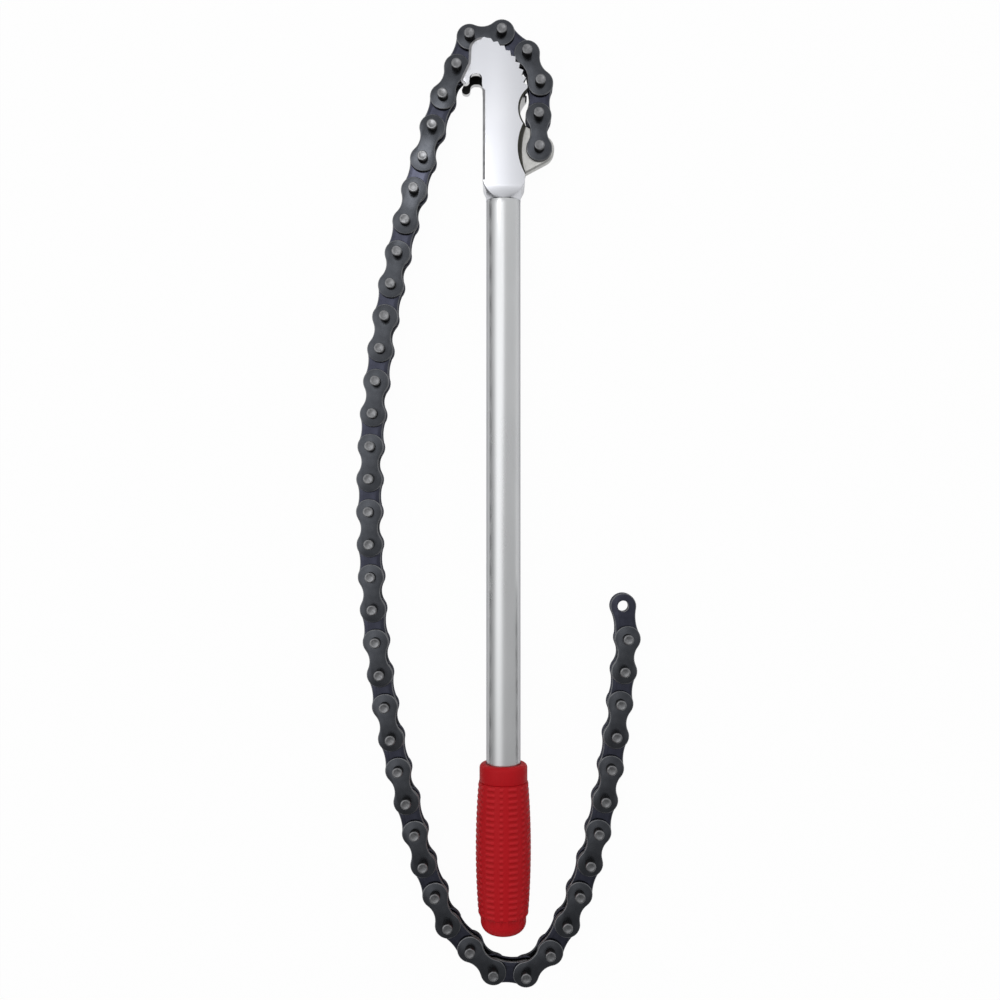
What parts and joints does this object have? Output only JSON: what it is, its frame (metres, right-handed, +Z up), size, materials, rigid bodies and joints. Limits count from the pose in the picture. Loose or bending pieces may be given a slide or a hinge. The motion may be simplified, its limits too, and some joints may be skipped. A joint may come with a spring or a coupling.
{
  "type": "chain wrench",
  "caption": "Chain wrench: toothed jaw head with hook notch and lug, tube handle with ribbed grip, and a long hinged roller-type chain laid round the handle.",
  "frame": {"origin": "under the middle of the overall box, on the surface that the wrench lies on", "axes": "+Y along the handle from the grip to the jaw head, +X to the side of the head that carries the lug, +Z up from the surface, along the chain's pins"},
  "size_m": [0.1662, 0.5654, 0.0324],
  "materials": {
    "satin_nickel": "satin nickel plate",
    "satin_chrome": "satin",
    "red_rubber": "matt, ribbed",
    "black_oxide_steel": "black oxide",
    "blued_steel": "blued"
  },
  "bodies": {
    "wrench": {"jaw_head": "satin_nickel", "handle_tube": "satin_chrome", "grip_sleeve": "red_rubber"},
    "link_01": {"outer_link_01": "black_oxide_steel"},
    "link_02": {"inner_link_02": "blued_steel"},
    "link_03": {"outer_link_03": "black_oxide_steel"},
    "link_04": {"inner_link_04": "blued_steel"},
    "link_05": {"outer_link_05": "black_oxide_steel"},
    "link_06": {"inner_link_06": "blued_steel"},
    "link_07": {"outer_link_07": "black_oxide_steel"},
    "link_08": {"inner_link_08": "blued_steel"},
    "link_09": {"outer_link_09": "black_oxide_steel"},
    "link_10": {"inner_link_10": "blued_steel"},
    "link_11": {"outer_link_11": "black_oxide_steel"},
    "link_12": {"inner_link_12": "blued_steel"},
    "link_13": {"outer_link_13": "black_oxide_steel"},
    "link_14": {"inner_link_14": "blued_steel"},
    "link_15": {"outer_link_15": "black_oxide_steel"},
    "link_16": {"inner_link_16": "blued_steel"},
    "link_17": {"outer_link_17": "black_oxide_steel"},
    "link_18": {"inner_link_18": "blued_steel"},
    "link_19": {"outer_link_19": "black_oxide_steel"},
    "link_20": {"inner_link_20": "blued_steel"},
    "link_21": {"outer_link_21": "black_oxide_steel"},
    "link_22": {"inner_link_22": "blued_steel"},
    "link_23": {"outer_link_23": "black_oxide_steel"},
    "link_24": {"inner_link_24": "blued_steel"},
    "link_25": {"outer_link_25": "black_oxide_steel"},
    "link_26": {"inner_link_26": "blued_steel"},
    "link_27": {"outer_link_27": "black_oxide_steel"},
    "link_28": {"inner_link_28": "blued_steel"},
    "link_29": {"outer_link_29": "black_oxide_steel"},
    "link_30": {"inner_link_30": "blued_steel"},
    "link_31": {"outer_link_31": "black_oxide_steel"},
    "link_32": {"inner_link_32": "blued_steel"},
    "link_33": {"outer_link_33": "black_oxide_steel"},
    "link_34": {"inner_link_34": "blued_steel"},
    "link_35": {"outer_link_35": "black_oxide_steel"},
    "link_36": {"inner_link_36": "blued_steel"},
    "link_37": {"outer_link_37": "black_oxide_steel"},
    "link_38": {"inner_link_38": "blued_steel"},
    "link_39": {"outer_link_39": "black_oxide_steel"},
    "link_40": {"inner_link_40": "blued_steel"},
    "link_41": {"outer_link_41": "black_oxide_steel"},
    "link_42": {"inner_link_42": "blued_steel"},
    "link_43": {"outer_link_43": "black_oxide_steel"},
    "link_44": {"inner_link_44": "blued_steel"},
    "link_45": {"outer_link_45": "black_oxide_steel"},
    "link_46": {"inner_link_46": "blued_steel"},
    "link_47": {"outer_link_47": "black_oxide_steel"},
    "link_48": {"inner_link_48": "blued_steel"}
  },
  "joints": [
    {"name": "lug_hinge", "type": "hinge", "parent": "wrench", "child": "link_01", "pos_m": [0.02386, 0.2075, 0.01113], "axis": [0, 0, 1], "range_deg": [-2, 1.3]},
    {"name": "pin_hinge_02", "type": "hinge", "parent": "link_01", "child": "link_02", "pos_m": [0.02349, 0.22654, 0.01113], "axis": [0, 0, -1], "range_deg": [-1.2, 1.9]},
    {"name": "pin_hinge_03", "type": "hinge", "parent": "link_02", "child": "link_03", "pos_m": [0.02448, 0.24557, 0.01113], "axis": [0, 0, 1], "range_deg": [-1.8, 1.2]},
    {"name": "pin_hinge_04", "type": "hinge", "parent": "link_03", "child": "link_04", "pos_m": [0.01673, 0.26297, 0.01113], "axis": [0, 0, -1], "range_deg": [-1.1, 1.8]},
    {"name": "pin_hinge_05", "type": "hinge", "parent": "link_04", "child": "link_05", "pos_m": [0.00202, 0.27508, 0.01113], "axis": [0, 0, 1], "range_deg": [-1.7, 1.1]},
    {"name": "pin_hinge_06", "type": "hinge", "parent": "link_05", "child": "link_06", "pos_m": [-0.01684, 0.27246, 0.01113], "axis": [0, 0, -1], "range_deg": [-1, 1.7]},
    {"name": "pin_hinge_07", "type": "hinge", "parent": "link_06", "child": "link_07", "pos_m": [-0.02424, 0.25491, 0.01113], "axis": [0, 0, 1], "range_deg": [-1.8, 1]},
    {"name": "pin_hinge_08", "type": "hinge", "parent": "link_07", "child": "link_08", "pos_m": [-0.03239, 0.23769, 0.01113], "axis": [0, 0, -1], "range_deg": [-1.1, 1.9]},
    {"name": "pin_hinge_09", "type": "hinge", "parent": "link_08", "child": "link_09", "pos_m": [-0.03855, 0.21966, 0.01113], "axis": [0, 0, 1], "range_deg": [-2, 1.1]},
    {"name": "pin_hinge_10", "type": "hinge", "parent": "link_09", "child": "link_10", "pos_m": [-0.04406, 0.20142, 0.01113], "axis": [0, 0, -1], "range_deg": [-1.1, 2.1]},
    {"name": "pin_hinge_11", "type": "hinge", "parent": "link_10", "child": "link_11", "pos_m": [-0.04933, 0.18312, 0.01113], "axis": [0, 0, 1], "range_deg": [-2.2, 1.2]},
    {"name": "pin_hinge_12", "type": "hinge", "parent": "link_11", "child": "link_12", "pos_m": [-0.05435, 0.16474, 0.01113], "axis": [0, 0, -1], "range_deg": [-1.2, 2.3]},
    {"name": "pin_hinge_13", "type": "hinge", "parent": "link_12", "child": "link_13", "pos_m": [-0.05885, 0.14623, 0.01113], "axis": [0, 0, 1], "range_deg": [-2.5, 1.2]},
    {"name": "pin_hinge_14", "type": "hinge", "parent": "link_13", "child": "link_14", "pos_m": [-0.06276, 0.12759, 0.01113], "axis": [0, 0, -1], "range_deg": [-1.3, 2.6]},
    {"name": "pin_hinge_15", "type": "hinge", "parent": "link_14", "child": "link_15", "pos_m": [-0.06615, 0.10884, 0.01113], "axis": [0, 0, 1], "range_deg": [-2.8, 1.3]},
    {"name": "pin_hinge_16", "type": "hinge", "parent": "link_15", "child": "link_16", "pos_m": [-0.06904, 0.09001, 0.01113], "axis": [0, 0, -1], "range_deg": [-1.4, 3]},
    {"name": "pin_hinge_17", "type": "hinge", "parent": "link_16", "child": "link_17", "pos_m": [-0.07144, 0.07111, 0.01113], "axis": [0, 0, 1], "range_deg": [-3.2, 1.5]},
    {"name": "pin_hinge_18", "type": "hinge", "parent": "link_17", "child": "link_18", "pos_m": [-0.07335, 0.05216, 0.01113], "axis": [0, 0, -1], "range_deg": [-1.5, 3.4]},
    {"name": "pin_hinge_19", "type": "hinge", "parent": "link_18", "child": "link_19", "pos_m": [-0.07469, 0.03316, 0.01113], "axis": [0, 0, 1], "range_deg": [-3.7, 1.6]},
    {"name": "pin_hinge_20", "type": "hinge", "parent": "link_19", "child": "link_20", "pos_m": [-0.07541, 0.01412, 0.01113], "axis": [0, 0, -1], "range_deg": [-1.7, 4.2]},
    {"name": "pin_hinge_21", "type": "hinge", "parent": "link_20", "child": "link_21", "pos_m": [-0.07554, -0.00493, 0.01113], "axis": [0, 0, 1], "range_deg": [-4.8, 1.8]},
    {"name": "pin_hinge_22", "type": "hinge", "parent": "link_21", "child": "link_22", "pos_m": [-0.07521, -0.02398, 0.01113], "axis": [0, 0, -1], "range_deg": [-1.9, 5.7]},
    {"name": "pin_hinge_23", "type": "hinge", "parent": "link_22", "child": "link_23", "pos_m": [-0.07451, -0.04301, 0.01113], "axis": [0, 0, 1], "range_deg": [-6.5, 2.1]},
    {"name": "pin_hinge_24", "type": "hinge", "parent": "link_23", "child": "link_24", "pos_m": [-0.07337, -0.06203, 0.01113], "axis": [0, 0, -1], "range_deg": [-2.3, 7.3]},
    {"name": "pin_hinge_25", "type": "hinge", "parent": "link_24", "child": "link_25", "pos_m": [-0.07166, -0.081, 0.01113], "axis": [0, 0, 1], "range_deg": [-8.3, 2.5]},
    {"name": "pin_hinge_26", "type": "hinge", "parent": "link_25", "child": "link_26", "pos_m": [-0.06929, -0.0999, 0.01113], "axis": [0, 0, -1], "range_deg": [-2.8, 9.6]},
    {"name": "pin_hinge_27", "type": "hinge", "parent": "link_26", "child": "link_27", "pos_m": [-0.06631, -0.11872, 0.01113], "axis": [0, 0, 1], "range_deg": [-11.4, 3.1]},
    {"name": "pin_hinge_28", "type": "hinge", "parent": "link_27", "child": "link_28", "pos_m": [-0.06275, -0.13744, 0.01113], "axis": [0, 0, -1], "range_deg": [-3.5, 14.3]},
    {"name": "pin_hinge_29", "type": "hinge", "parent": "link_28", "child": "link_29", "pos_m": [-0.05853, -0.15601, 0.01113], "axis": [0, 0, 1], "range_deg": [-23.5, 4]},
    {"name": "pin_hinge_30", "type": "hinge", "parent": "link_29", "child": "link_30", "pos_m": [-0.0537, -0.17444, 0.01113], "axis": [0, 0, -1], "range_deg": [-4.7, 40]},
    {"name": "pin_hinge_31", "type": "hinge", "parent": "link_30", "child": "link_31", "pos_m": [-0.04874, -0.19283, 0.01113], "axis": [0, 0, 1], "range_deg": [-40, 5.7]},
    {"name": "pin_hinge_32", "type": "hinge", "parent": "link_31", "child": "link_32", "pos_m": [-0.04381, -0.21123, 0.01113], "axis": [0, 0, -1], "range_deg": [-7.2, 40]},
    {"name": "pin_hinge_33", "type": "hinge", "parent": "link_32", "child": "link_33", "pos_m": [-0.03688, -0.22898, 0.01113], "axis": [0, 0, 1], "range_deg": [-40, 10.2]},
    {"name": "pin_hinge_34", "type": "hinge", "parent": "link_33", "child": "link_34", "pos_m": [-0.0295, -0.24654, 0.01113], "axis": [0, 0, -1], "range_deg": [-15, 40]},
    {"name": "pin_hinge_35", "type": "hinge", "parent": "link_34", "child": "link_35", "pos_m": [-0.01651, -0.26047, 0.01113], "axis": [0, 0, 1], "range_deg": [-40, 14.1]},
    {"name": "pin_hinge_36", "type": "hinge", "parent": "link_35", "child": "link_36", "pos_m": [-0.0029, -0.2738, 0.01113], "axis": [0, 0, -1], "range_deg": [-13.4, 40]},
    {"name": "pin_hinge_37", "type": "hinge", "parent": "link_36", "child": "link_37", "pos_m": [0.01611, -0.27508, 0.01113], "axis": [0, 0, 1], "range_deg": [-40, 13.5]},
    {"name": "pin_hinge_38", "type": "hinge", "parent": "link_37", "child": "link_38", "pos_m": [0.03035, -0.26242, 0.01113], "axis": [0, 0, -1], "range_deg": [-14.4, 40]},
    {"name": "pin_hinge_39", "type": "hinge", "parent": "link_38", "child": "link_39", "pos_m": [0.04022, -0.24613, 0.01113], "axis": [0, 0, 1], "range_deg": [-40, 15.7]},
    {"name": "pin_hinge_40", "type": "hinge", "parent": "link_39", "child": "link_40", "pos_m": [0.04744, -0.22851, 0.01113], "axis": [0, 0, -1], "range_deg": [-17.5, 40]},
    {"name": "pin_hinge_41", "type": "hinge", "parent": "link_40", "child": "link_41", "pos_m": [0.05359, -0.21048, 0.01113], "axis": [0, 0, 1], "range_deg": [-40, 19.7]},
    {"name": "pin_hinge_42", "type": "hinge", "parent": "link_41", "child": "link_42", "pos_m": [0.05846, -0.19206, 0.01113], "axis": [0, 0, -1], "range_deg": [-22.6, 40]},
    {"name": "pin_hinge_43", "type": "hinge", "parent": "link_42", "child": "link_43", "pos_m": [0.06239, -0.17342, 0.01113], "axis": [0, 0, 1], "range_deg": [-40, 26.6]},
    {"name": "pin_hinge_44", "type": "hinge", "parent": "link_43", "child": "link_44", "pos_m": [0.06583, -0.15468, 0.01113], "axis": [0, 0, -1], "range_deg": [-32.6, 40]},
    {"name": "pin_hinge_45", "type": "hinge", "parent": "link_44", "child": "link_45", "pos_m": [0.06876, -0.13586, 0.01113], "axis": [0, 0, 1], "range_deg": [-40, 40]},
    {"name": "pin_hinge_46", "type": "hinge", "parent": "link_45", "child": "link_46", "pos_m": [0.0713, -0.11698, 0.01113], "axis": [0, 0, -1], "range_deg": [-40, 40]},
    {"name": "pin_hinge_47", "type": "hinge", "parent": "link_46", "child": "link_47", "pos_m": [0.07354, -0.09806, 0.01113], "axis": [0, 0, 1], "range_deg": [-75, 75]},
    {"name": "pin_hinge_48", "type": "hinge", "parent": "link_47", "child": "link_48", "pos_m": [0.07555, -0.07912, 0.01113], "axis": [0, 0, -1], "range_deg": [-100, 100]}
  ]
}
